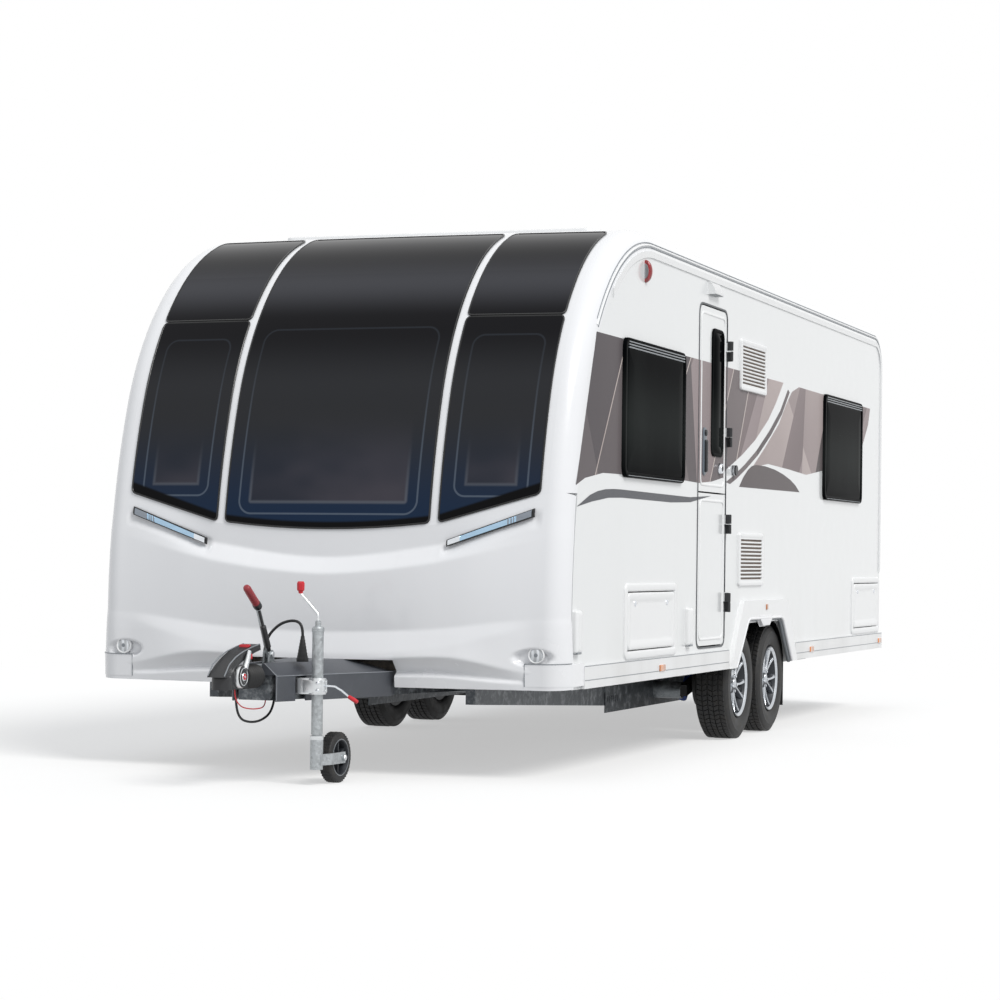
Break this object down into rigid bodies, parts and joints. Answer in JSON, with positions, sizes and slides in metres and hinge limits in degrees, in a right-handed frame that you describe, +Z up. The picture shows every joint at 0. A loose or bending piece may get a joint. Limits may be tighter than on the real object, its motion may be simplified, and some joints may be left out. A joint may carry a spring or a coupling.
{
  "type": "travel caravan",
  "caption": "Twin-axle touring caravan with a sloping dark-paned front, side door, lockers, drawbar with ball coupling, corner steadies and a jockey wheel.",
  "frame": {"origin": "on the ground under the middle of the whole caravan", "axes": "+Z up, +Y from the hitch to the rear, +X to the side with the entrance door"},
  "size_m": [2.2839, 7.86, 2.591],
  "materials": {
    "body_white": "gloss white",
    "front_white": "gloss moulded white",
    "pane_dark": "dark gloss acrylic",
    "trim_white": "satin white",
    "trim_dark": "satin dark grey",
    "rail_alloy": "painted extrusion",
    "chrome": "polished",
    "lens_clear": "clear lens",
    "lens_amber": "amber lens",
    "lens_red": "red lens",
    "galvanised": "galvanised",
    "black_steel": "black",
    "damper_blue": "blue",
    "tyre": "tread",
    "alloy": "machined face",
    "rubber": "matt",
    "fairing_grey": "grained",
    "floor_ply": "floor board"
  },
  "bodies": {
    "caravan": {"axle_beams": "galvanised", "body_windows": "pane_dark", "bright_handles": "chrome", "bumper_corners": "front_white", "chassis_frame": "galvanised", "coupling_head": "black_steel", "dampers": "damper_blue", "door_fittings": "trim_dark", "drawbar_fairing": "fairing_grey", "floor_panel": "floor_ply", "fridge_vents": "trim_white", "front_lower_panel": "front_white", "front_pane_centre": "pane_dark", "front_side_panes": "pane_dark", "front_surround": "front_white", "grab_mouldings": "trim_white", "hitch_leads": "rubber", "jockey_clamp": "galvanised", "jockey_tube": "galvanised", "lead_plug": "rubber", "locker_frames": "trim_white", "mudflaps": "rubber", "overrun_device": "galvanised", "rear_bumper": "trim_white", "rear_lamps": "lens_red", "rear_panel": "body_white", "roof_fittings": "trim_white", "roof_panel": "body_white", "side_markers": "lens_amber", "side_rails": "rail_alloy", "side_wall_left": "body_white", "side_wall_right": "body_white", "steady_brackets": "galvanised", "trailing_arms": "black_steel", "wheel_spats": "front_white", "wheel_wells": "trim_dark", "white_lamps": "lens_clear"},
    "door_upper": {"door_upper": "body_white", "door_window": "pane_dark", "door_handle": "trim_dark"},
    "door_lower": {"door_lower": "body_white"},
    "locker_front": {"locker_door_front": "trim_white"},
    "locker_rear": {"locker_door_rear": "trim_white"},
    "roof_lid": {"roof_lid": "trim_white"},
    "handbrake": {"handbrake_lever": "galvanised"},
    "jockey_leg": {"jockey_inner_tube": "galvanised"},
    "jockey_fork": {"jockey_fork": "galvanised"},
    "jockey_wheel": {"jockey_wheel": "tyre"},
    "steady_front_left": {"steady_leg_front_left": "galvanised"},
    "wheel_front_left": {"tyre_front_left": "tyre", "rim_front_left": "alloy"},
    "steady_front_right": {"steady_leg_front_right": "galvanised"},
    "wheel_front_right": {"tyre_front_right": "tyre", "rim_front_right": "alloy"},
    "steady_rear_left": {"steady_leg_rear_left": "galvanised"},
    "wheel_rear_left": {"tyre_rear_left": "tyre", "rim_rear_left": "alloy"},
    "steady_rear_right": {"steady_leg_rear_right": "galvanised"},
    "wheel_rear_right": {"tyre_rear_right": "tyre", "rim_rear_right": "alloy"}
  },
  "joints": [
    {"name": "wheel_front_left_spin", "type": "hinge", "parent": "caravan", "child": "wheel_front_left", "pos_m": [0.99, 0.275, 0.298], "axis": [1, 0, 0], "continuous": true},
    {"name": "wheel_front_right_spin", "type": "hinge", "parent": "caravan", "child": "wheel_front_right", "pos_m": [-0.99, 0.275, 0.298], "axis": [1, 0, 0], "continuous": true},
    {"name": "wheel_rear_left_spin", "type": "hinge", "parent": "caravan", "child": "wheel_rear_left", "pos_m": [0.99, 0.965, 0.298], "axis": [1, 0, 0], "continuous": true},
    {"name": "wheel_rear_right_spin", "type": "hinge", "parent": "caravan", "child": "wheel_rear_right", "pos_m": [-0.99, 0.965, 0.298], "axis": [1, 0, 0], "continuous": true},
    {"name": "steady_front_left_fold", "type": "hinge", "parent": "caravan", "child": "steady_front_left", "pos_m": [0.78, -2.04, 0.402], "axis": [1, 0, 0], "range_deg": [0, 60]},
    {"name": "steady_front_right_fold", "type": "hinge", "parent": "caravan", "child": "steady_front_right", "pos_m": [-0.78, -2.04, 0.402], "axis": [1, 0, 0], "range_deg": [0, 60]},
    {"name": "steady_rear_left_fold", "type": "hinge", "parent": "caravan", "child": "steady_rear_left", "pos_m": [0.78, 3.08, 0.402], "axis": [-1, 0, 0], "range_deg": [0, 60]},
    {"name": "steady_rear_right_fold", "type": "hinge", "parent": "caravan", "child": "steady_rear_right", "pos_m": [-0.78, 3.08, 0.402], "axis": [-1, 0, 0], "range_deg": [0, 60]},
    {"name": "door_upper_hinge", "type": "hinge", "parent": "caravan", "child": "door_upper", "pos_m": [1.133, -0.19, 1.82], "axis": [0, 0, 1], "range_deg": [0, 170]},
    {"name": "door_lower_hinge", "type": "hinge", "parent": "caravan", "child": "door_lower", "pos_m": [1.133, -0.19, 0.94], "axis": [0, 0, 1], "range_deg": [0, 170]},
    {"name": "locker_front_hinge", "type": "hinge", "parent": "caravan", "child": "locker_front", "pos_m": [1.1176, -1.5425, 0.537], "axis": [0, 1, 0], "range_deg": [0, 90]},
    {"name": "locker_rear_hinge", "type": "hinge", "parent": "caravan", "child": "locker_rear", "pos_m": [1.1176, 3.37, 0.539], "axis": [0, 1, 0], "range_deg": [0, 90]},
    {"name": "roof_lid_hinge", "type": "hinge", "parent": "caravan", "child": "roof_lid", "pos_m": [0, -1.56, 2.513], "axis": [1, 0, 0], "range_deg": [0, 50]},
    {"name": "handbrake_pivot", "type": "hinge", "parent": "caravan", "child": "handbrake", "pos_m": [0, -3.425, 0.54], "axis": [-1, 0, 0], "range_deg": [-32, 45]},
    {"name": "jockey_slide", "type": "slide", "parent": "caravan", "child": "jockey_leg", "axis": [0, 0, 1], "range_m": [-0.1, 0]},
    {"name": "jockey_swivel", "type": "hinge", "parent": "jockey_leg", "child": "jockey_fork", "pos_m": [0.222, -3.42, 0.136], "axis": [0, 0, 1], "continuous": true},
    {"name": "jockey_wheel_spin", "type": "hinge", "parent": "jockey_fork", "child": "jockey_wheel", "pos_m": [0.23037, -3.26022, 0.1075], "axis": [0.9986, -0.0523, 0], "continuous": true}
  ]
}
